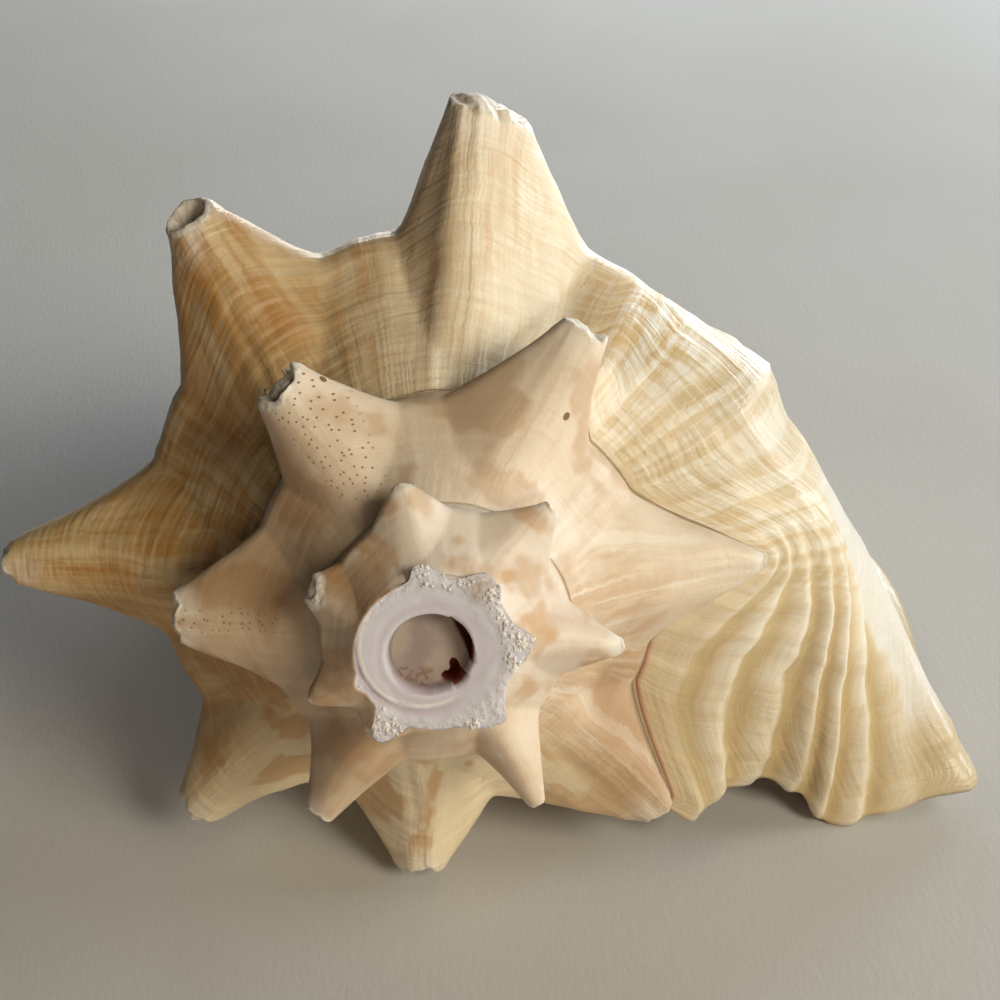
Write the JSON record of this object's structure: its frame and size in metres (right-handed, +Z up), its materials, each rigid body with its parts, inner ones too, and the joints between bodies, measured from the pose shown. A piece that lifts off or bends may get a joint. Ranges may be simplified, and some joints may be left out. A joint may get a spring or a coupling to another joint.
{
  "type": "horned conch shell",
  "caption": "Empty sea snail shell with a row of blunt horns round its spire, a broken apex and a flared lip over a wide aperture.",
  "frame": {"origin": "middle of the outline seen from above, on the floor", "axes": "+Z up with the shell lying aperture down, spire toward -Y, siphonal tip toward +Y, lip toward +X"},
  "size_m": [0.1998, 0.2026, 0.1374],
  "materials": {
    "shell": "matte outside, glazed inside"
  },
  "bodies": {
    "root": {"conch_shell": "shell"}
  },
  "joints": []
}
